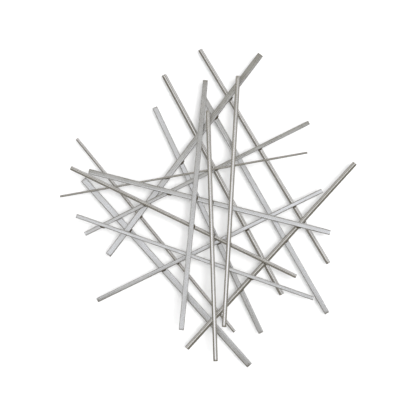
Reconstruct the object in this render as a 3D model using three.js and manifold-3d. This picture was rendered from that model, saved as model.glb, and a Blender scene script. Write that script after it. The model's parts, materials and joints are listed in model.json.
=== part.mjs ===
// Abstract wall sculpture: seventeen steel bars of nearly one length, laid across each other in
// five layers and tack welded where they touch, with a hanging strap and three rubber-tipped
// standoffs on the back.
//
// Millimetres, +Z up. The wall is the plane Y = 0 and the viewer stands on the -Y side, so
// "depth" below means distance from the wall towards the viewer. The origin is the middle
// of the hanging strap's face against the wall.
import * as THREE from "three";
import { mergeVertices } from "three/addons/utils/BufferGeometryUtils.js";
import Module from "manifold-3d";

// Driving dimensions.
const BAR_LENGTH = 503; // unless its row says otherwise
const REAR_LAYER_FACE = 22; // depth of the front faces of the rear layer
const CONTACT_GAP = 0.3; // between any two pieces that touch
const REST_GAP = 0.4; // between a bar and the bars it rests on
const END_CHAMFER = 0.6;
const EDGE_CHAMFER = 0.8; // along the edges of flat bar
const ROUND_SIDES = 28;
const REST_PASSES = 4; // how often a bar's tilt is worked out again from where it rests

// Bar stock: width is seen from the front, thickness runs from front to back.
const STOCK = {
  flat_wide: { width: 12.6, thickness: 6, round: false },
  flat_12: { width: 12, thickness: 6, round: false },
  flat: { width: 10.2, thickness: 6, round: false },
  flat_narrow: { width: 8.6, thickness: 6, round: false },
  flat_slim: { width: 7.9, thickness: 6, round: false },
  rod_10: { width: 10, thickness: 10, round: true },
  rod_9: { width: 9, thickness: 9, round: true },
  rod_8: { width: 8.2, thickness: 8.2, round: true },
  rod_6: { width: 6.4, thickness: 6.4, round: true },
  rod_4: { width: 4.2, thickness: 4.2, round: true },
};

// One row a bar, from the rear layer to the front one: the place of its middle in X and Z,
// and its slope in degrees, positive when it rises to the right.
const REAR_LAYER = [
  { name: "steep_bar_1", stock: "flat_wide", x: -91, z: -326, slope: -48.25 },
  { name: "steep_bar_2", stock: "rod_6", x: -113, z: -251, slope: -50.75 },
  { name: "steep_bar_3", stock: "flat", x: -7.5, z: -220.5, slope: -64.75 },
  { name: "steep_bar_4", stock: "rod_10", x: 22.5, z: -149, slope: -61.75 },
  { name: "steep_bar_5", stock: "flat", x: 108, z: -190, slope: -60.25 },
  { name: "steep_bar_6", stock: "rod_9", x: 106, z: -92, slope: -59 },
];
const STACKED_BARS = [
  { name: "rising_bar_1", stock: "flat_12", x: -55, z: -89, slope: 52.75, length: 507 },
  { name: "rising_bar_2", stock: "flat_narrow", x: -4, z: -271.5, slope: 26 },
  { name: "rising_bar_3", stock: "rod_10", x: 119, z: -292, slope: 47.75 },
  { name: "rising_bar_4", stock: "flat_slim", x: -29, z: -136, slope: 26.5 },
  { name: "thin_cross_rod", stock: "rod_4", x: -57, z: -129, slope: 10, length: 505 },
  { name: "shallow_bar_1", stock: "flat", x: -4.5, z: -184, slope: -14.25, length: 499 },
  { name: "shallow_bar_2", stock: "rod_8", x: -56.5, z: -224.5, slope: -25.75, length: 501 },
  { name: "shallow_bar_3", stock: "flat_slim", x: -33.5, z: -294.5, slope: -19.25 },
  { name: "upright_bar_left", stock: "flat", x: -36.5, z: -189, slope: 84.5 },
  { name: "upright_bar_middle", stock: "rod_9", x: 0, z: -251, slope: -88.25, length: 501 },
  { name: "upright_bar_right", stock: "rod_9", x: 38.5, z: -182.5, slope: 86.8 },
];

// Tack welds: a bead in the corner between two touching bars, on the right or lower side.
const WELD_REACH = 0.6; // bars closer than this at a crossing are welded
const BEAD_SIZE = 3;
const BEAD_LENGTH = 5.5;
const BEAD_TUCK = 1; // how far under the side of a round bar the middle of its bead lies
const BEAD_SEGMENTS = { round: 14, along: 10 };

// Hanging strap, a U bent from strip and welded behind one bar.
const STRAP = { width: 9, height: 5, wall: 2 };
const STRAP_BAR = "steep_bar_5";

// Standoffs: the bar each is welded behind, and how far along it from its middle.
const STUD_DIAMETER = 6;
const BUMPER_DIAMETER = 9;
const BUMPER_HEIGHT = 3;
const BUMPER_TAPER = 0.8; // how much smaller its radius is at the stud than at the wall
const STANDOFFS = [
  { name: "upper_left", bar: "steep_bar_1", along: -236 },
  { name: "lower_left", bar: "steep_bar_1", along: 226 },
  { name: "right", bar: "steep_bar_5", along: 222 },
];

const MERGE_DISTANCE = 1e-3; // vertices closer than this are one

const wasm = await Module();
wasm.setup();

const polishedRod = { color: 0xb9b9b4, metalness: 1, roughness: 0.16 };
const satinFlat = { color: 0xb4b4b0, metalness: 1, roughness: 0.36 };
const weldMetal = { color: 0x6d6862, metalness: 0.9, roughness: 0.5 };
const zincPlate = { color: 0x9b9da0, metalness: 1, roughness: 0.4 };
const rubber = { color: 0x2b2b2b, metalness: 0, roughness: 0.85 };

const sculpture = new THREE.Group();

function addMesh(name, geometry, finish) {
  const mesh = new THREE.Mesh(geometry, new THREE.MeshStandardMaterial(finish));
  mesh.name = name;
  sculpture.add(mesh);
  return mesh;
}

// A bar centred on the origin along X, its thickness along Y. "grow" enlarges it all round.
function barGeometry(bar, grow = 0) {
  const half = bar.length / 2 + grow;
  if (bar.round) {
    const r = bar.width / 2 + grow;
    const profile = [
      new THREE.Vector2(0, -half),
      new THREE.Vector2(r - END_CHAMFER, -half),
      new THREE.Vector2(r, -half + END_CHAMFER),
      new THREE.Vector2(r, half - END_CHAMFER),
      new THREE.Vector2(r - END_CHAMFER, half),
      new THREE.Vector2(0, half),
    ];
    return new THREE.LatheGeometry(profile, ROUND_SIDES).rotateZ(-Math.PI / 2);
  }
  const w = bar.width / 2 + grow;
  const t = bar.thickness / 2 + grow;
  const c = EDGE_CHAMFER;
  const section = new THREE.Shape();
  section.moveTo(-w + c, -t);
  section.lineTo(w - c, -t);
  section.lineTo(w, -t + c);
  section.lineTo(w, t - c);
  section.lineTo(w - c, t);
  section.lineTo(-w + c, t);
  section.lineTo(-w, t - c);
  section.lineTo(-w, -t + c);
  section.closePath();
  const extrusion = {
    depth: 2 * (half - END_CHAMFER),
    bevelEnabled: true,
    bevelThickness: END_CHAMFER,
    bevelSize: END_CHAMFER / 2,
    bevelOffset: -END_CHAMFER / 2,
    bevelSegments: 1,
  };
  const extruded = new THREE.ExtrudeGeometry(section, extrusion);
  return extruded.translate(0, 0, END_CHAMFER - half).rotateY(Math.PI / 2);
}

// A placed bar: "depth" is the depth of its axis at its middle and "rise" is how much nearer
// the viewer the axis comes for each millimetre along it, seen from the front.
function placeBar(spec, depth, rise) {
  const slope = THREE.MathUtils.degToRad(spec.slope);
  const bar = {
    ...STOCK[spec.stock],
    name: spec.name,
    length: spec.length ?? BAR_LENGTH,
    x: spec.x,
    z: spec.z,
    ux: Math.cos(slope),
    uz: Math.sin(slope),
    depth,
    rise,
  };
  bar.matrix = new THREE.Matrix4()
    .makeTranslation(spec.x, -depth, spec.z)
    .multiply(new THREE.Matrix4().makeRotationY(-slope))
    .multiply(new THREE.Matrix4().makeRotationZ(-Math.atan(rise)));
  return bar;
}

// Where two bars cross, seen from the front: the distance along each from its middle.
function crossing(a, b) {
  const turn = a.ux * b.uz - a.uz * b.ux;
  const dx = b.x - a.x;
  const dz = b.z - a.z;
  const alongA = (dx * b.uz - dz * b.ux) / turn;
  const alongB = (dx * a.uz - dz * a.ux) / turn;
  const onBoth = Math.abs(alongA) < a.length / 2 && Math.abs(alongB) < b.length / 2;
  return onBoth ? { alongA, alongB, turn } : null;
}

function axisDepth(bar, along) {
  return bar.depth + bar.rise * along;
}

// How much the gap between two tilted bars changes from the middle of their overlap to the
// nearest corner of it.
function tiltAllowance(a, b, turn) {
  const gx = a.rise * a.ux - b.rise * b.ux;
  const gz = a.rise * a.uz - b.rise * b.uz;
  const alongA = Math.abs(gx * a.ux + gz * a.uz) * b.width;
  const alongB = Math.abs(gx * b.ux + gz * b.uz) * a.width;
  return (alongA + alongB) / Math.abs(2 * turn);
}

// Lays a bar on the ones behind it. Of all the pairs of crossings on either side of its
// middle, it rests on the pair that holds its middle highest. Its tilt changes the gaps a
// little, so the sum is run a few times.
function restOn(spec, placed) {
  let bar = placeBar(spec, 0, 0);
  for (let pass = 0; pass < REST_PASSES; pass++) {
    const supports = [];
    for (const other of placed) {
      const at = crossing(bar, other);
      if (!at) continue;
      const apart = (other.thickness + bar.thickness) / 2 + REST_GAP;
      const height = axisDepth(other, at.alongB) + apart + tiltAllowance(bar, other, at.turn);
      supports.push({ along: at.alongA, height });
    }
    let rest = { depth: 0, rise: 0 };
    for (const low of supports.filter((s) => s.along < 0)) {
      for (const high of supports.filter((s) => s.along >= 0)) {
        const rise = (high.height - low.height) / (high.along - low.along);
        const depth = low.height - rise * low.along;
        if (depth > rest.depth) rest = { depth, rise };
      }
    }
    bar = placeBar(spec, rest.depth, rest.rise);
  }
  return bar;
}

const bars = REAR_LAYER.map((spec) =>
  placeBar(spec, REAR_LAYER_FACE - STOCK[spec.stock].thickness / 2, 0),
);
for (const spec of STACKED_BARS) bars.push(restOn(spec, bars));

for (const bar of bars) {
  const mesh = addMesh(bar.name, barGeometry(bar), bar.round ? polishedRod : satinFlat);
  mesh.applyMatrix4(bar.matrix);
}

function solidOf(geometry) {
  const bare = geometry.index ? geometry.toNonIndexed() : geometry.clone();
  bare.deleteAttribute("normal");
  bare.deleteAttribute("uv");
  const merged = mergeVertices(bare, MERGE_DISTANCE);
  return new wasm.Manifold(
    new wasm.Mesh({
      numProp: 3,
      vertProperties: merged.attributes.position.array,
      triVerts: new Uint32Array(merged.index.array),
    }),
  );
}

function geometryOf(solid) {
  const mesh = solid.getMesh();
  return new THREE.BufferGeometry()
    .setAttribute("position", new THREE.BufferAttribute(mesh.vertProperties, 3))
    .setIndex(new THREE.BufferAttribute(mesh.triVerts, 1));
}

const clearances = bars.map((bar) =>
  solidOf(barGeometry(bar, CONTACT_GAP).applyMatrix4(bar.matrix)),
);

// The gap between the faces of two crossing bars, at its narrowest.
function gapAt(front, rear, at) {
  const apart = axisDepth(front, at.alongA) - axisDepth(rear, at.alongB);
  return apart - (front.thickness + rear.thickness) / 2 - tiltAllowance(front, rear, at.turn);
}

// A bead in the corner between a front bar's side and the face of the bar behind it. It is
// on the side of the front bar that faces right and down.
function addWeld(front, rear, at) {
  const side = Math.sign(front.ux + front.uz);
  const out = side * (front.width / 2 - (front.round ? BEAD_TUCK : 0));
  const length = Math.min(BEAD_LENGTH, rear.width / 2 / Math.abs(at.turn));
  const bead = new THREE.SphereGeometry(1, BEAD_SEGMENTS.round, BEAD_SEGMENTS.along)
    .scale(length, BEAD_SIZE, BEAD_SIZE);
  const place = new THREE.Matrix4()
    .makeTranslation(
      rear.x + rear.ux * at.alongB + front.uz * out,
      -(axisDepth(rear, at.alongB) + rear.thickness / 2),
      rear.z + rear.uz * at.alongB - front.ux * out,
    )
    .multiply(new THREE.Matrix4().makeRotationY(-Math.atan2(front.uz, front.ux)));
  let solid = solidOf(bead.applyMatrix4(place));
  for (const clearance of clearances) solid = solid.subtract(clearance);
  const pieces = solid.decompose();
  pieces.sort((a, b) => b.volume() - a.volume()); // the cut can leave a crumb beside the bead
  addMesh("weld_" + front.name + "_on_" + rear.name, geometryOf(pieces[0]), weldMetal);
}

bars.forEach((front, i) => {
  for (const rear of bars.slice(0, i)) {
    const at = crossing(front, rear);
    if (at && gapAt(front, rear, at) < WELD_REACH) addWeld(front, rear, at);
  }
});

function findBar(name) {
  return bars.find((bar) => bar.name === name);
}

// The strap is a U seen from above, its crown flat on the wall and its legs on the bar.
function addStrap() {
  const bar = findBar(STRAP_BAR);
  const reach = bar.depth - bar.thickness / 2 - CONTACT_GAP;
  const w = STRAP.width / 2;
  const outline = new THREE.Shape();
  outline.moveTo(-w, 0);
  outline.lineTo(-w, -reach);
  outline.lineTo(-w + STRAP.wall, -reach);
  outline.lineTo(-w + STRAP.wall, -STRAP.wall);
  outline.lineTo(w - STRAP.wall, -STRAP.wall);
  outline.lineTo(w - STRAP.wall, -reach);
  outline.lineTo(w, -reach);
  outline.lineTo(w, 0);
  outline.closePath();
  const strap = new THREE.ExtrudeGeometry(outline, { depth: STRAP.height, bevelEnabled: false });
  addMesh("hanger_strap", strap.translate(0, 0, -STRAP.height / 2), zincPlate);
}
addStrap();

function addStandoff(spec) {
  const bar = findBar(spec.bar);
  const x = bar.x + bar.ux * spec.along;
  const z = bar.z + bar.uz * spec.along;
  const reach = bar.depth - bar.thickness / 2 - CONTACT_GAP;
  const stud = new THREE.CylinderGeometry(STUD_DIAMETER / 2, STUD_DIAMETER / 2,
    reach - BUMPER_HEIGHT - CONTACT_GAP, ROUND_SIDES);
  const studMesh = addMesh("standoff_stud_" + spec.name, stud, zincPlate);
  studMesh.position.set(x, -(reach + BUMPER_HEIGHT + CONTACT_GAP) / 2, z);
  const bumper = new THREE.CylinderGeometry(BUMPER_DIAMETER / 2 - BUMPER_TAPER, BUMPER_DIAMETER / 2,
    BUMPER_HEIGHT, ROUND_SIDES);
  const bumperMesh = addMesh("wall_bumper_" + spec.name, bumper, rubber);
  bumperMesh.position.set(x, -BUMPER_HEIGHT / 2, z);
}
STANDOFFS.forEach(addStandoff);

export default sculpture;
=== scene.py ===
import json
import math

import bpy
import numpy as np
from mathutils import Matrix, Vector, noise


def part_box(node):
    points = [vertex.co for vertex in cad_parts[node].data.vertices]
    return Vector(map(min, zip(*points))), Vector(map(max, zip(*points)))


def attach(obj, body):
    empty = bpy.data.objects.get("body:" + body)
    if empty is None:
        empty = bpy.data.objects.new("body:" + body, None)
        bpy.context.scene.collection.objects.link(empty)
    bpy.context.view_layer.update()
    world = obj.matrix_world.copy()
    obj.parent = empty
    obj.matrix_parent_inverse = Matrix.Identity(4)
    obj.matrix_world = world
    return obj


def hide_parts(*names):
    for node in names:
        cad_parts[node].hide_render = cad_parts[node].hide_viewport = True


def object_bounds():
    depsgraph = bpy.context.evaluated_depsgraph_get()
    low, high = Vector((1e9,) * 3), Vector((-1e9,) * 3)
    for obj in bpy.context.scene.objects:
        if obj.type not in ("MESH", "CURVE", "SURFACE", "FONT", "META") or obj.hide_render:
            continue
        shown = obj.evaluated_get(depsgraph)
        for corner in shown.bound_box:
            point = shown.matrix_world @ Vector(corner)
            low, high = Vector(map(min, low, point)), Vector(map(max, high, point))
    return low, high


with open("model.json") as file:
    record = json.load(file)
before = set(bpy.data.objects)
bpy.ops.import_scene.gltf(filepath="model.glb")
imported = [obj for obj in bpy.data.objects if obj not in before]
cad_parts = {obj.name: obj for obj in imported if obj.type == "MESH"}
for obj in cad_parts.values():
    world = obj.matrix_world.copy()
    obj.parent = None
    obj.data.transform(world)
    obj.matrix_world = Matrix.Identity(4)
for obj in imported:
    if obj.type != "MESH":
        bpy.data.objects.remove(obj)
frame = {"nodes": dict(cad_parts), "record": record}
CAD_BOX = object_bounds()

MM = 0.001

# ---------------------------------------------------------------- camera
CAMERA_DISTANCE = 2.88  # from the wall, along -Y
FIELD_WIDTH = 0.8447  # what the picture spans at the wall
FRAMING = Vector((-0.0003, 0, -0.0001))  # the middle of the picture, from the middle of the box


def add_camera():
    low, high = CAD_BOX
    middle = (low + high) / 2 + FRAMING
    data = bpy.data.cameras.new("camera")
    data.sensor_width = 36
    data.lens = 36 * CAMERA_DISTANCE / FIELD_WIDTH
    data.clip_end = 50
    camera = bpy.data.objects.new("camera", data)
    camera.location = (middle.x, -CAMERA_DISTANCE, middle.z)
    camera.rotation_euler = (math.radians(90), 0, 0)
    bpy.context.scene.collection.objects.link(camera)
    bpy.context.scene.camera = camera


add_camera()


# ---------------------------------------------------------------- node helpers
class Nodes:
    """A node tree that is written as nested calls. Each call returns an output socket."""

    def __init__(self, tree):
        self.tree = tree
        tree.nodes.clear()

    def add(self, kind, inputs=(), output=0, **settings):
        node = self.tree.nodes.new(kind)
        for name, value in settings.items():
            setattr(node, name, value)
        for key, value in dict(inputs).items():
            if isinstance(value, bpy.types.NodeSocket):
                self.tree.links.new(value, node.inputs[key])
            else:
                node.inputs[key].default_value = value
        return node.outputs[output]

    def math(self, operation, a, b=0.0):
        return self.add("ShaderNodeMath", {0: a, 1: b}, operation=operation)

    def ramp(self, value, low, high, to_low=0.0, to_high=1.0):
        """Smoothly from to_low to to_high as value goes from low to high."""
        inputs = {0: value, 1: low, 2: high, 3: to_low, 4: to_high}
        return self.add("ShaderNodeMapRange", inputs, interpolation_type="SMOOTHSTEP")

    def vector(self, operation, a, b=None, scale=None):
        inputs = {0: a}
        if b is not None:
            inputs[1] = b
        if scale is not None:
            inputs["Scale"] = scale
        output = "Value" if operation == "DOT_PRODUCT" else 0
        return self.add("ShaderNodeVectorMath", inputs, output, operation=operation)

    def noise(self, vector, scale, detail=2.0, roughness=0.5):
        inputs = {"Vector": vector, "Scale": scale, "Detail": detail, "Roughness": roughness}
        return self.add("ShaderNodeTexNoise", inputs, "Fac")

    def mix(self, factor, a, b):
        """A colour between a and b."""
        return self.add("ShaderNodeMix", {0: factor, 6: a, 7: b}, 2, data_type="RGBA")

    def attribute(self, name):
        return self.add("ShaderNodeAttribute", output="Fac", attribute_name=name)

    def surface(self, shader, output="ShaderNodeOutputMaterial"):
        """Makes a shader the surface of the tree's material or world."""
        self.tree.links.new(shader, self.tree.nodes.new(output).inputs["Surface"])


# ---------------------------------------------------------------- stage and light
AMBIENT = 0.7  # the even light on the wall and floor
KEY = 2.2  # strength of the key lamp
KEY_ANGLE = 30  # how wide the key lamp looks from the part, degrees
KEY_X = -0.18  # how far its light goes to the right, and up, for 1 towards the wall
KEY_Z = -0.05

# What the metal reflects.
WARM = (1.0, 0.95, 0.81)  # the tint of the room
COOL = (0.95, 0.988, 1.11)  # the tint of its lights
ROOM_LOW = 0.26  # brightness of the room near its floor
ROOM_HIGH = 0.36  # and near its ceiling
DUSK = 0.4  # how much darker it is beside the part than in front of it
BAND = 1.2  # a pale band across its far side, at the height of the part
BEHIND = 0.3  # the light from behind the part
SOFTBOXES = (  # degrees off the camera's axis, degrees round from the right, radius, strength
    (80, 42, 54, 0.6),  # the key softbox, upper right
    (113, 99, 40, 0.3),  # overhead
    (73, 146, 34, 0.4),  # a weaker one, upper left
    (68, 229, 36, 0.05),  # a white card, lower left
)

WALL_GAP = 0.5 * MM  # between the bumpers and the wall
FLOOR_HEIGHT = -1.4
STAGE_REACH = 6.0


def towards(off_axis, turn):
    """The direction off_axis degrees away from the camera, turn degrees round from the right
    towards the top."""
    off_axis, turn = math.radians(off_axis), math.radians(turn)
    side = math.sin(off_axis)
    return (side * math.cos(turn), -math.cos(off_axis), side * math.sin(turn))


def reflected_studio(n):
    """A dim warm room with cool softboxes, as a colour for each direction. Heights and
    "front" are the direction's own parts upwards and towards the camera."""
    direction = n.add("ShaderNodeTexCoord", output="Generated")
    height = n.vector("DOT_PRODUCT", direction, (0, 0, 1))
    front = n.vector("DOT_PRODUCT", direction, (0, -1, 0))
    light = n.ramp(height, 0.03, 0.19, BAND, 0.0)
    light = n.math("MULTIPLY", light, n.ramp(height, -0.17, -0.04))
    light = n.math("MULTIPLY", light, n.ramp(front, 0.62, 0.97))
    light = n.math("ADD", light, n.ramp(front, -0.5, -0.85, 0.0, BEHIND))
    for off_axis, turn, radius, strength in SOFTBOXES:
        facing = n.vector("DOT_PRODUCT", direction, towards(off_axis, turn))
        rim = math.cos(math.radians(radius))
        light = n.math("ADD", light, n.ramp(facing, rim, 1.0, 0.0, strength))
    dim = n.ramp(height, -0.6, 0.3, ROOM_LOW, ROOM_HIGH)
    beside = n.math("MULTIPLY", n.ramp(front, 0.15, -0.15), n.ramp(front, -0.8, -0.5))
    dim = n.math("MULTIPLY", dim, n.math("SUBTRACT", 1.0, n.math("MULTIPLY", beside, DUSK)))
    room = n.vector("SCALE", WARM, None, dim)
    lamps = n.vector("SCALE", COOL, None, light)
    return n.vector("ADD", room, lamps)


def add_world():
    """White to the eye, even light for matt surfaces, and the studio for the metal."""
    world = bpy.data.worlds.new("studio")
    world.use_nodes = True
    n = Nodes(world.node_tree)
    path = n.add("ShaderNodeLightPath")
    is_camera = path.node.outputs["Is Camera Ray"]
    is_glossy = path.node.outputs["Is Glossy Ray"]
    diffuse = n.add("ShaderNodeBackground", {0: (1, 1, 1, 1), 1: AMBIENT})
    glossy = n.add("ShaderNodeBackground", {0: reflected_studio(n), 1: 1.0})
    seen = n.add("ShaderNodeBackground", {0: (1, 1, 1, 1), 1: 1.0})
    lit = n.add("ShaderNodeMixShader", {0: is_glossy, 1: diffuse, 2: glossy})
    shown = n.add("ShaderNodeMixShader", {0: is_camera, 1: lit, 2: seen})
    n.surface(shown, "ShaderNodeOutputWorld")
    bpy.context.scene.world = world


def add_key_light():
    """A soft lamp just right of and above the camera. It makes the soft shadows on the wall."""
    data = bpy.data.lights.new("key", "SUN")
    data.energy = KEY
    data.angle = math.radians(KEY_ANGLE)
    lamp = bpy.data.objects.new("key", data)
    aim = Vector((KEY_X, 1, KEY_Z))
    lamp.rotation_euler = aim.to_track_quat("-Z", "Y").to_euler()
    lamp.visible_glossy = False
    bpy.context.scene.collection.objects.link(lamp)


def pale_paint():
    """White paint that is seen from the front of a surface only."""
    material = bpy.data.materials.new("pale_paint")
    material.use_nodes = True
    n = Nodes(material.node_tree)
    paint = n.add("ShaderNodeBsdfDiffuse", {0: (0.9, 0.9, 0.9, 1)})
    clear = n.add("ShaderNodeBsdfTransparent")
    behind = n.add("ShaderNodeNewGeometry", output="Backfacing")
    n.surface(n.add("ShaderNodeMixShader", {0: behind, 1: paint, 2: clear}))
    return material


def add_stage():
    """A pale wall, which is clear from behind so that the back of the part shows too, and the
    pale floor below it."""
    reach, height = STAGE_REACH, FLOOR_HEIGHT
    skirting = [(-reach, WALL_GAP, height), (reach, WALL_GAP, height)]
    wall = skirting + [(reach, WALL_GAP, reach), (-reach, WALL_GAP, reach)]
    floor = [(-reach, -reach, height), (reach, -reach, height)] + skirting[::-1]
    paint = pale_paint()
    for name, corners in (("wall", wall), ("floor", floor)):
        mesh = bpy.data.meshes.new(name)
        mesh.from_pydata(corners, [], [(0, 1, 2, 3)])
        mesh.materials.append(paint)
        surface = bpy.data.objects.new(name, mesh)
        surface.visible_glossy = False
        bpy.context.scene.collection.objects.link(surface)


def set_view():
    settings = bpy.context.scene.view_settings
    settings.view_transform = "Standard"
    settings.look = "None"


add_world()
add_key_light()
add_stage()
set_view()


# ---------------------------------------------------------------- materials
STRAW_SHADE = (0.46, 0.36, 0.22, 1)  # painted shade between crossing bars, in the straw colour that heat leaves beside a weld
SPECK = (0.30, 0.28, 0.25, 1)  # tiny dull spots
GRAIN_STRETCH = (0.02, 1, 1)  # fine drawing lines run along a piece's own X axis
WAVE_STRETCH = (0.06, 1, 1)  # and so do the faint waves of its surface


def new_material(name):
    material = bpy.data.materials.new(name)
    material.use_nodes = True
    return material, Nodes(material.node_tree)


def shaded(colour, factor):
    """A colour made lighter or darker."""
    return tuple(min(1, part * factor) for part in colour[:3]) + (1,)


def principled(n, tone, rough, bump, metallic=0.0, anisotropic=0.0):
    shader = n.tree.nodes.new("ShaderNodeBsdfPrincipled")
    shader.inputs["Metallic"].default_value = metallic
    shader.inputs["Anisotropic"].default_value = anisotropic
    n.tree.links.new(tone, shader.inputs["Base Color"])
    n.tree.links.new(rough, shader.inputs["Roughness"])
    n.tree.links.new(bump, shader.inputs["Normal"])
    if anisotropic:
        along = n.add("ShaderNodeTangent", direction_type="UV_MAP", uv_map="along")
        n.tree.links.new(along, shader.inputs["Tangent"])
    n.surface(shader.outputs[0])


def bumpy(n, height, strength=1.0, distance=1.0):
    inputs = {"Strength": strength, "Distance": distance, "Height": height}
    return n.add("ShaderNodeBump", inputs, "Normal")


def metal(name, colour, roughness, grain, grain_depth, anisotropic=0.0, wave_depth=0.0):
    """Plated steel, tinted brown beside welds, which paints the shade between crossing bars as well as
    weld heat tint, and made lighter at its ends and edges, which is rubbing wear as well as a painted
    edge highlight.
    """
    material, n = new_material(name)
    place = n.add("ShaderNodeTexCoord", output="Object")
    seed = n.attribute("seed")
    place = n.vector("ADD", place, n.add("ShaderNodeCombineXYZ", {0: seed, 1: seed, 2: seed}))
    fine = n.noise(n.vector("MULTIPLY", place, GRAIN_STRETCH), grain, 3.0, 0.6)
    coarse = n.noise(n.vector("MULTIPLY", place, WAVE_STRETCH), grain * 0.22, 2.0)
    patches = n.noise(place, 22.0, 3.0, 0.55)
    spots = n.ramp(n.noise(place, 420.0, 2.0), 0.66, 0.74)
    heat = n.attribute("heat")
    edge_wear_and_sheen = n.attribute("edge_wear_and_sheen")

    dark = shaded(colour, 0.93)
    tone = n.mix(n.ramp(patches, 0.35, 0.65), dark, shaded(colour, 1.04))
    tone = n.mix(n.ramp(fine, 0.3, 0.7, 0.0, 0.16), tone, dark)
    tone = n.mix(n.math("MULTIPLY", spots, 0.25), tone, SPECK)
    # Painted shade beside the welds where bars cross, in a weld heat-tint colour.
    mottled = n.math("MULTIPLY", heat, n.ramp(patches, 0.25, 0.7, 0.55, 1.0))
    tone = n.mix(mottled, tone, STRAW_SHADE)
    # Painted highlight along ends and corners, together with rubbing wear.
    tone = n.mix(n.math("MULTIPLY", edge_wear_and_sheen, 0.15), tone, shaded(colour, 1.15))

    rough = n.math("ADD", roughness, n.ramp(fine, 0.25, 0.75, -0.05, 0.06))
    rough = n.math("ADD", rough, n.ramp(patches, 0.3, 0.7, -0.03, 0.05))
    rough = n.math("ADD", rough, n.math("MULTIPLY", heat, 0.10))
    rough = n.math("SUBTRACT", rough, n.math("MULTIPLY", edge_wear_and_sheen, 0.06))

    lines = n.math("MULTIPLY", fine, grain_depth)
    waves = n.math("MULTIPLY", coarse, wave_depth)
    principled(n, tone, rough, bumpy(n, n.math("ADD", lines, waves)), 1.0, anisotropic)
    return material


def bead_metal():
    """Weld metal, darker than the bars and mottled with brown. The dark tone also paints the shade and
    dark reflections where the bars cross.
    """
    material, n = new_material("weld_metal")
    place = n.add("ShaderNodeTexCoord", output="Object")
    mottle = n.noise(place, 700.0, 4.0, 0.6)
    blotch = n.noise(place, 160.0, 2.0)
    # A dark tone: weld metal, and painted shade where the bars cross.
    tone = n.mix(n.ramp(mottle, 0.3, 0.7), (0.10, 0.085, 0.065, 1), (0.33, 0.29, 0.24, 1))
    tone = n.mix(n.ramp(blotch, 0.45, 0.7, 0.0, 0.6), tone, (0.17, 0.12, 0.07, 1))
    rough = n.ramp(mottle, 0.2, 0.8, 0.28, 0.55)
    principled(n, tone, rough, bumpy(n, mottle, 0.5, 0.3 * MM), 1.0)
    return material


def bumper_rubber():
    """Matt black rubber with a fine moulded grain and a little dust."""
    material, n = new_material("bumper_rubber")
    place = n.add("ShaderNodeTexCoord", output="Object")
    grain = n.noise(place, 2600.0, 3.0, 0.6)
    dust = n.noise(place, 240.0, 3.0, 0.6)
    tone = n.mix(n.ramp(dust, 0.45, 0.75, 0.0, 0.6), (0.018, 0.018, 0.018, 1), (0.07, 0.068, 0.064, 1))
    rough = n.ramp(grain, 0.3, 0.7, 0.72, 0.9)
    principled(n, tone, rough, bumpy(n, grain, 0.6, 0.08 * MM))
    return material


MATERIALS = {
    "polished_rod": metal("polished_rod", (0.73, 0.715, 0.69, 1), 0.17, 2600.0, 6e-6, wave_depth=5e-5),
    "satin_flat_bar": metal("satin_flat_bar", (0.70, 0.70, 0.695, 1), 0.27, 1700.0, 3e-6, 0.5),
    "zinc_plated_steel": metal("zinc_plated_steel", (0.56, 0.57, 0.58, 1), 0.42, 900.0, 8e-6),
    "weld_metal": bead_metal(),
    "bumper_rubber": bumper_rubber(),
}
SLOT_OF = {row["node"]: row["material_slot"] for row in frame["record"]["subparts"]}


def nodes_with(slot):
    return sorted(name for name, its_slot in SLOT_OF.items() if its_slot == slot)


# ---------------------------------------------------------------- pieces
def points_of(node):
    """The CAD node's vertices, in the row frame, in metres."""
    mesh = frame["nodes"][node].data
    co = np.empty(len(mesh.vertices) * 3, np.float32)
    mesh.vertices.foreach_get("co", co)
    return co.reshape(-1, 3).astype(float)


WELD_POINTS = np.array([points_of(name).mean(0) for name in nodes_with("weld_metal")])


def bar_frame(node):
    """A bar's own axes from its solid: X along it, Y from the viewer to the wall and Z across
    it, with its length, width and thickness."""
    points = np.unique(np.round(points_of(node), 6), axis=0)
    middle = (points.min(0) + points.max(0)) / 2
    _, axes = np.linalg.eigh(np.cov((points - middle).T))
    along = axes[:, 2]
    if along[2] < 0:
        along = -along
    across = np.cross(along, (0.0, 1.0, 0.0))
    across /= np.linalg.norm(across)
    inward = np.cross(across, along)
    local = (points - middle) @ np.array([along, inward, across]).T
    size = local.max(0) - local.min(0)
    matrix = Matrix.Identity(4)
    for row in range(3):
        matrix[row][0], matrix[row][1], matrix[row][2] = along[row], inward[row], across[row]
        matrix[row][3] = middle[row]
    return matrix, size


def round_section(width, thickness, inset, sides=56):
    """A circle as (across, inward) points, starting at the back."""
    angles = np.linspace(0, 2 * math.pi, sides, endpoint=False) + math.pi / 2
    radius = width / 2 - inset
    return np.stack([radius * np.cos(angles), radius * np.sin(angles)], 1)


def flat_section(width, thickness, inset, corner=1.4 * MM, arc=5, runs=(6, 3)):
    """A rectangle with rounded corners as (across, inward) points, starting at the back."""
    half_w, half_t = width / 2 - inset, thickness / 2 - inset
    radius = max(corner - inset, 0.3 * MM)
    points = []
    centres = [(-1, 1), (-1, -1), (1, -1), (1, 1)]
    for index, (sx, sy) in enumerate(centres):
        start = math.pi / 2 + index * math.pi / 2
        centre = np.array([sx * (half_w - radius), sy * (half_t - radius)])
        for step in range(arc):
            angle = start + math.pi / 2 * step / (arc - 1)
            points.append(centre + radius * np.array([math.cos(angle), math.sin(angle)]))
        next_sx, next_sy = centres[(index + 1) % 4]
        next_centre = np.array([next_sx * (half_w - radius), next_sy * (half_t - radius)])
        next_angle = start + math.pi / 2
        turn = radius * np.array([math.cos(next_angle), math.sin(next_angle)])
        count = runs[(index + 1) % 2]
        for step in range(1, count):
            points.append((centre + turn) * (1 - step / count) + (next_centre + turn) * step / count)
    return np.array(points)


END_BEVEL = 0.6 * MM
RING_SPACING = 4 * MM
CAP_RINGS = (0.72, 0.38)  # the size of the rings inside an end face, of its outline


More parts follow.
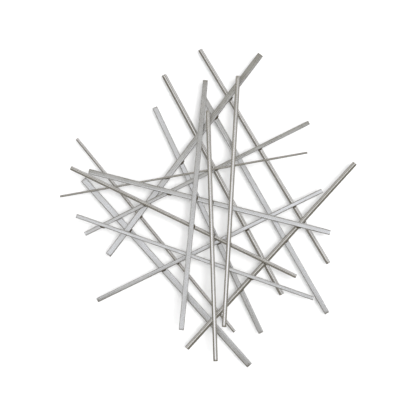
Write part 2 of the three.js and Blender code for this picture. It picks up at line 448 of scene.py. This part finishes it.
def swept_bar(name, length, width, thickness, section):
    """A closed bar along X: rings of the section, rounded over at both ends, with flat caps."""
    half = length / 2
    turns = np.linspace(0, math.pi / 2, 4)
    ends = [(half - END_BEVEL * (1 - math.sin(t)), END_BEVEL * (1 - math.cos(t))) for t in turns]
    count = round((length - 2 * END_BEVEL) / RING_SPACING)
    straight = [(x, 0.0) for x in np.linspace(END_BEVEL - half, half - END_BEVEL, count + 1)]
    rings = [(-x, inset) for x, inset in reversed(ends[1:])] + straight + ends[1:]
    loops = [section(width, thickness, inset) for _, inset in rings]
    sides = len(loops[0])
    verts = [(x, p[1], p[0]) for (x, _), loop in zip(rings, loops) for p in loop]
    faces = []
    for ring in range(len(rings) - 1):
        for side in range(sides):
            after = (side + 1) % sides
            a, b = ring * sides + side, ring * sides + after
            faces.append((a, b, b + sides, a + sides))
    for ring, reverse in ((0, True), (len(rings) - 1, False)):
        outer = [ring * sides + side for side in range(sides)]
        for shrink in CAP_RINGS:
            start = len(verts)
            for index in range(ring * sides, (ring + 1) * sides):
                x, y, z = verts[index]
                verts.append((x, y * shrink, z * shrink))
            inner = list(range(start, start + sides))
            for side in range(sides):
                after = (side + 1) % sides
                face = (outer[side], outer[after], inner[after], inner[side])
                faces.append(face[::-1] if reverse else face)
            outer = inner
        verts.append((rings[ring][0], 0, 0))
        centre = len(verts) - 1
        for side in range(sides):
            face = (outer[side], outer[(side + 1) % sides], centre)
            faces.append(face[::-1] if reverse else face)
    mesh = bpy.data.meshes.new(name)
    mesh.from_pydata(verts, [], faces)
    mesh.update()
    return mesh


def face_outwards(mesh):
    """Turns all faces over if the mesh is inside out."""
    mesh.calc_loop_triangles()
    volume = 0.0
    for triangle in mesh.loop_triangles:
        a, b, c = (mesh.vertices[i].co for i in triangle.vertices)
        volume += a.dot(b.cross(c))
    if volume < 0:
        mesh.flip_normals()


def smooth(mesh, angle=math.radians(35)):
    mesh.shade_smooth()
    mesh.set_sharp_from_angle(angle=angle)


def set_attribute(mesh, name, values):
    layer = mesh.attributes.new(name, "FLOAT", "POINT")
    layer.data.foreach_set("value", np.asarray(values, np.float32))


def along_uv(mesh):
    """A map with U along the piece and V round it, in metres. The tangent comes from it."""
    layer = mesh.uv_layers.new(name="along")
    co = np.empty(len(mesh.vertices) * 3, np.float32)
    mesh.vertices.foreach_get("co", co)
    co = co.reshape(-1, 3)
    index = np.empty(len(mesh.loops), np.int32)
    mesh.loops.foreach_get("vertex_index", index)
    at = co[index]
    uv = np.stack([at[:, 0], at[:, 1] * 0.7 + at[:, 2]], 1)
    layer.data.foreach_set("uv", uv.astype(np.float32).ravel())


def finish_piece(piece, node, slot):
    piece.data.materials.append(MATERIALS[slot])
    bpy.context.scene.collection.objects.link(piece)
    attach(piece, "root")
    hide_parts(node)


# Nothing in a welded piece like this is quite straight. The light on the flat bars shows it.
TWISTS = {  # how far a flat bar's face looks up at its left end and at its right end, degrees
    "steep_bar_1": (1, -3.5),
    "steep_bar_3": (-2.5, -6.5),
    "steep_bar_5": (7.5, -2.5),
    "rising_bar_1": (1, 11.5),
    "rising_bar_2": (-3.5, -0.5),
    "rising_bar_4": (3, 6),
    "shallow_bar_1": (5, 2.5),
    "shallow_bar_3": (3, 5.5),
    "upright_bar_left": (1, 1.5),
}
BOWS = {"upright_bar_left": 4 * MM}  # how far a bar's upper end bends back to the wall

WELD_TINT_AND_SHADE = 0.8  # how strong the painted shade beside a weld is, in the colour of weld heat tint
WELD_SHADE_START = 2 * MM  # it fades from here, measured from the middle of the weld,
WELD_SHADE_REACH = 13 * MM  # over this distance
HIGHLIT_WORN_END = 1.2 * MM  # how far in from its ends a bar is made lighter: rubbing wear, and a painted highlight
HIGHLIT_WORN_CORNER = (0.72, 0.87)  # and from where to where towards the corners of flat bar


def twist(mesh, matrix, left, right):
    """Turns each ring of a bar about the bar's own length, evenly from end to end."""
    along, across = matrix.col[0], matrix.col[2]
    sign = -1 if across.z < 0 else 1
    if along.x < 0:
        left, right = right, left
    half = max(vertex.co.x for vertex in mesh.vertices)
    for vertex in mesh.vertices:
        share = (vertex.co.x / half + 1) / 2
        angle = sign * math.radians(left + (right - left) * share)
        cos, sin = math.cos(angle), math.sin(angle)
        x, y, z = vertex.co
        vertex.co = (x, y * cos + z * sin, z * cos - y * sin)


def bow(mesh, depth):
    """Bends the upper half of a bar back to the wall."""
    half = max(vertex.co.x for vertex in mesh.vertices)
    for vertex in mesh.vertices:
        vertex.co.y += depth * max(0.0, vertex.co.x / half) ** 2


# Painted shade between crossing bars: darkest by each weld, fading away from it.
def tint_and_shade_beside_welds(points):
    apart = np.linalg.norm(points[:, None] - WELD_POINTS[None], axis=2)
    return WELD_TINT_AND_SHADE * np.clip(1 - (apart.min(1) - WELD_SHADE_START) / WELD_SHADE_REACH, 0, 1) ** 2


def rubbed_and_highlit_edges(local, length, thickness, width, has_corners):
    """1 where a bar is made lighter, for rubbing wear and a painted highlight on its ends and corners,
    and 0 where it is not.
    """
    end = 0.8 * np.clip(1 - (length / 2 - np.abs(local[:, 0])) / HIGHLIT_WORN_END, 0, 1)
    if not has_corners:
        return end
    out = np.minimum(np.abs(local[:, 2]) / (width / 2), np.abs(local[:, 1]) / (thickness / 2))
    start, full = HIGHLIT_WORN_CORNER
    return np.maximum(end, np.clip((out - start) / (full - start), 0, 1))


def add_bar(node, slot, section, seed):
    matrix, (length, thickness, width) = bar_frame(node)
    mesh = swept_bar(node + "_bar", length, width, thickness, section)
    if node in TWISTS:
        twist(mesh, matrix, *TWISTS[node])
    if node in BOWS:
        bow(mesh, BOWS[node])
    face_outwards(mesh)
    smooth(mesh)
    along_uv(mesh)
    local = np.array([vertex.co for vertex in mesh.vertices])
    placed = local @ np.array(matrix.to_3x3()).T + np.array(matrix.translation)
    wear_with_highlight = rubbed_and_highlit_edges(local, length, thickness, width, section is flat_section)
    # the painted shade beside welds, tinted like weld heat
    set_attribute(mesh, "heat", tint_and_shade_beside_welds(placed))
    # the painted highlight, with rubbing wear, on ends and corners
    set_attribute(mesh, "edge_wear_and_sheen", wear_with_highlight)
    set_attribute(mesh, "seed", np.full(len(local), seed))
    piece = bpy.data.objects.new(node + "_bar", mesh)
    piece.matrix_world = matrix
    finish_piece(piece, node, slot)


def add_bars():
    for order, node in enumerate(nodes_with("polished_rod")):
        add_bar(node, "polished_rod", round_section, 1.7 * order + 0.3)
    for order, node in enumerate(nodes_with("satin_flat_bar")):
        add_bar(node, "satin_flat_bar", flat_section, 1.3 * order + 20.1)


BEAD_RADIUS = 2.4 * MM
BEAD_LENGTH = 11 * MM
BEAD_TUCK = 1 * MM  # how far under the side of a rod its bead starts
RIPPLE = 1.35 * MM  # from one ripple of a bead to the next


def bead_mesh(name, length, radius, seed, stations=34, sides=28):
    """A tack weld along X: a fat rippled drop, a little lopsided, its ripples bowed as the
    puddle froze. It is sunk in both bars, so only its outer side shows."""
    verts, faces = [], []
    for station in range(1, stations):
        angle = math.pi * station / stations
        x = -math.cos(angle) * length / 2
        swell = math.sin(angle) ** 0.75
        for side in range(sides):
            turn = 2 * math.pi * side / sides
            bow = 0.35 * radius * math.cos(2 * turn)
            ripple = 0.055 * math.cos(2 * math.pi * (x + bow) / RIPPLE)
            direction = Vector((x / radius, math.cos(turn), math.sin(turn)))
            lump = 0.12 * noise.noise(direction * 1.1 + Vector((seed, 0, 0)))
            out = radius * swell * (1 + ripple + lump)
            verts.append((x, out * math.cos(turn), out * math.sin(turn)))
    rings = stations - 1
    for ring in range(rings - 1):
        for side in range(sides):
            after = (side + 1) % sides
            a, b = ring * sides + side, ring * sides + after
            faces.append((a, b, b + sides, a + sides))
    for end, ring in ((-1, 0), (1, rings - 1)):
        verts.append((end * length / 2, 0, 0))
        for side in range(sides):
            a, b = ring * sides + side, ring * sides + (side + 1) % sides
            faces.append((b, a, len(verts) - 1) if end < 0 else (a, b, len(verts) - 1))
    mesh = bpy.data.meshes.new(name)
    mesh.from_pydata(verts, [], faces)
    face_outwards(mesh)
    mesh.shade_smooth()
    return mesh


def weld_place(front, rear):
    """Where the bead between two bars goes, and how long it can be: in the corner between the
    front bar's right or lower side and the face of the rear bar."""
    matrix, (_, _, width) = bar_frame(front)
    rear_matrix, (_, rear_thickness, rear_width) = bar_frame(rear)
    along, across = matrix.col[0].to_3d(), matrix.col[2].to_3d()
    rear_along = rear_matrix.col[0].to_3d()
    apart = matrix.translation - rear_matrix.translation
    turn = rear_along.x * along.z - rear_along.z * along.x
    on_rear = (apart.x * along.z - apart.z * along.x) / turn
    outward = -rear_matrix.col[1].to_3d()
    face = rear_matrix.translation + on_rear * rear_along + outward * rear_thickness / 2
    if across.x < across.z:
        across = -across
    tuck = BEAD_TUCK if SLOT_OF[front] == "polished_rod" else 0
    matrix.translation = face + across * (width / 2 - tuck)
    return matrix, min(BEAD_LENGTH, rear_width / abs(turn))


def add_welds():
    for order, node in enumerate(nodes_with("weld_metal")):
        front, rear = node.removeprefix("weld_").split("_on_")
        matrix, length = weld_place(front, rear)
        mesh = bead_mesh(node + "_bead", length, BEAD_RADIUS, 3.1 * order)
        piece = bpy.data.objects.new(node + "_bead", mesh)
        piece.matrix_world = matrix
        finish_piece(piece, node, "weld_metal")


def turned(name, profile, sides=48):
    """A piece turned about the Y axis from (radius, y) points, the first and the last of
    which are on the axis."""
    verts = [(0, profile[0][1], 0)]
    for radius, y in profile[1:-1]:
        for side in range(sides):
            turn = 2 * math.pi * side / sides
            verts.append((radius * math.cos(turn), y, radius * math.sin(turn)))
    verts.append((0, profile[-1][1], 0))
    faces = []
    for side in range(sides):
        after = (side + 1) % sides
        faces.append((0, 1 + after, 1 + side))
        for ring in range(len(profile) - 3):
            a, b = 1 + ring * sides + side, 1 + ring * sides + after
            faces.append((a, b, b + sides, a + sides))
        last = 1 + (len(profile) - 3) * sides
        faces.append((last + side, last + after, len(verts) - 1))
    mesh = bpy.data.meshes.new(name)
    mesh.from_pydata(verts, [], faces)
    face_outwards(mesh)
    return mesh


def rounded(points, radius, steps=5):
    """A profile with its corners, apart from the first and last points, cut to quarter arcs."""
    out = [points[0]]
    for before, corner, after in zip(points, points[1:], points[2:]):
        before, corner, after = Vector(before), Vector(corner), Vector(after)
        reach = min(radius, (corner - before).length * 0.45, (after - corner).length * 0.45)
        start = corner + (before - corner).normalized() * reach
        end = corner + (after - corner).normalized() * reach
        for step in range(steps):
            share = step / (steps - 1)
            bend = start * (1 - share) ** 2 + corner * 2 * share * (1 - share) + end * share ** 2
            out.append(tuple(bend))
    return out + [points[-1]]


def add_turned_piece(node, suffix, slot, points, radius, seed):
    """points are (radius, y) with y from the wall, rounded by the given radius."""
    low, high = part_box(node)
    mesh = turned(node + suffix, rounded(points, radius))
    smooth(mesh)
    set_attribute(mesh, "seed", np.full(len(mesh.vertices), seed))
    piece = bpy.data.objects.new(node + suffix, mesh)
    piece.location = ((low.x + high.x) / 2, 0, (low.z + high.z) / 2)
    finish_piece(piece, node, slot)
    return piece


def add_stud(node, seed):
    """A zinc plated stud from the bumper to its bar, with a bevelled end and a relief groove,
    and a ring of weld where it meets the bar."""
    low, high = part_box(node)
    radius = (high.x - low.x) / 2
    root = radius * 0.86  # of the groove
    groove = high.y - 2.6 * MM
    end = [(0, high.y), (radius * 0.85, high.y), (radius, high.y - 0.5 * MM)]
    relief = [(radius, groove), (root, groove - 0.3 * MM), (root, groove - 1.0 * MM)]
    shank = [(radius, groove - 1.3 * MM), (radius, low.y), (0, low.y)]
    add_turned_piece(node, "_turned", "zinc_plated_steel", end + relief + shank, 0.25 * MM, 31.0 + seed)
    foot = Vector(((low.x + high.x) / 2, low.y, (low.z + high.z) / 2))
    add_weld_ring(node + "_weld_ring", foot, radius, seed)


def add_bumper(node, seed):
    """A rubber button that narrows to the stud, with a moulding dimple in its face."""
    low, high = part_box(node)
    radius = (high.x - low.x) / 2
    dimple = [(0, -0.55 * MM), (radius * 0.24, -0.5 * MM), (radius * 0.34, 0)]
    rim = [(radius, 0), (radius, -0.7 * MM), (radius * 0.94, -0.85 * MM)]
    top = [(radius * 0.84, low.y - high.y), (0, low.y - high.y)]
    add_turned_piece(node, "_moulded", "bumper_rubber", dimple + rim + top, 0.35 * MM, 41.0 + seed)


def add_standoffs():
    for order, name in enumerate(("upper_left", "lower_left", "right")):
        add_stud("standoff_stud_" + name, order)
        add_bumper("wall_bumper_" + name, order)


def add_weld_ring(name, centre, radius, seed, size=1.7 * MM, turns=72, sides=16):
    """A rippled fillet weld all round a stud, half sunk in it and in its bar."""
    verts, faces = [], []
    ripples = round(2 * math.pi * radius / RIPPLE)
    for step in range(turns):
        turn = 2 * math.pi * step / turns
        for side in range(sides):
            angle = 2 * math.pi * side / sides
            ripple = 0.08 * math.cos(ripples * turn + 0.8 * math.cos(angle))
            lump = 0.16 * noise.noise(Vector((2 * math.cos(turn), 2 * math.sin(turn), seed * 5.0)))
            out = size * (1 + ripple + lump)
            ring = radius + out * math.cos(angle)
            verts.append((ring * math.cos(turn), out * math.sin(angle), ring * math.sin(turn)))
    for step in range(turns):
        for side in range(sides):
            a = step * sides + side
            b = step * sides + (side + 1) % sides
            c = (step + 1) % turns * sides + (side + 1) % sides
            d = (step + 1) % turns * sides + side
            faces.append((a, b, c, d))
    mesh = bpy.data.meshes.new(name)
    mesh.from_pydata(verts, [], faces)
    face_outwards(mesh)
    mesh.shade_smooth()
    piece = bpy.data.objects.new(name, mesh)
    piece.location = centre
    add_extra_piece(piece, "weld_metal")


def add_extra_piece(piece, slot):
    """A piece that stands for no CAD node of its own."""
    piece.data.materials.append(MATERIALS[slot])
    bpy.context.scene.collection.objects.link(piece)
    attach(piece, "root")


STRAP_WALL = 2 * MM
STRAP_BEND = 2 * MM  # at the middle of the strip
STRAP_CORNER = 0.5 * MM  # its rolled edges
STRAP_HEAT = 6 * MM  # how far up its legs the heat of its welds shows


def strap_path(half, foot, steps=9):
    """The middle line of a U in the XY plane, with its crown along the wall, as points and
    directions."""
    crown = -STRAP_WALL / 2
    line = [((-half, foot), (0, 1)), ((-half, (foot + crown) / 2), (0, 1))]
    for side, start in ((-1, 0.0), (1, math.pi / 2)):
        centre = (side * (half - STRAP_BEND), crown - STRAP_BEND)
        for step in range(steps):
            angle = start + math.pi / 2 * step / (steps - 1)
            ahead = (math.sin(angle), math.cos(angle))
            out = (-math.cos(angle), math.sin(angle))
            line.append(((centre[0] + STRAP_BEND * out[0], centre[1] + STRAP_BEND * out[1]), ahead))
    line += [((half, (foot + crown) / 2), (0, -1)), ((half, foot), (0, -1))]
    return line


def add_strap():
    """The hanger: a bent strip with rolled edges, tacked to the back of its bar at both feet."""
    node = "hanger_strap"
    low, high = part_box(node)
    half, height = (high.x - low.x - STRAP_WALL) / 2, high.z - low.z
    verts, faces = [], []
    path = strap_path(half, low.y)
    section = flat_section(height, STRAP_WALL, 0, corner=STRAP_CORNER)
    sides = len(section)
    for (x, y), (ahead_x, ahead_y) in path:
        for across, outward in section:
            verts.append((x - ahead_y * outward, y + ahead_x * outward, across))
    for ring in range(len(path) - 1):
        for side in range(sides):
            a, b = ring * sides + side, ring * sides + (side + 1) % sides
            faces.append((a, b, b + sides, a + sides))
    for ring in (0, len(path) - 1):
        centre = Vector((path[ring][0][0], path[ring][0][1], 0))
        verts.append(tuple(centre))
        for side in range(sides):
            face = (ring * sides + side, ring * sides + (side + 1) % sides, len(verts) - 1)
            faces.append(face[::-1] if ring == 0 else face)
    mesh = bpy.data.meshes.new(node + "_bent")
    mesh.from_pydata(verts, [], faces)
    face_outwards(mesh)
    smooth(mesh)
    set_attribute(mesh, "seed", np.full(len(verts), 51.0))
    set_attribute(mesh, "heat", [max(0.0, 1 - (y - low.y) / STRAP_HEAT) for _, y, _ in verts])
    piece = bpy.data.objects.new(node + "_bent", mesh)
    finish_piece(piece, node, "zinc_plated_steel")
    for side, name in ((-1, "left"), (1, "right")):
        bead = bead_mesh("strap_bead_" + name, height * 1.3, 1.6 * MM, 60.0 + side)
        tack = bpy.data.objects.new("strap_bead_" + name, bead)
        upright = Matrix.Rotation(math.pi / 2, 4, "Y")
        tack.matrix_world = Matrix.Translation((side * half, low.y, 0)) @ upright
        add_extra_piece(tack, "weld_metal")


add_bars()
add_welds()
add_strap()
add_standoffs()
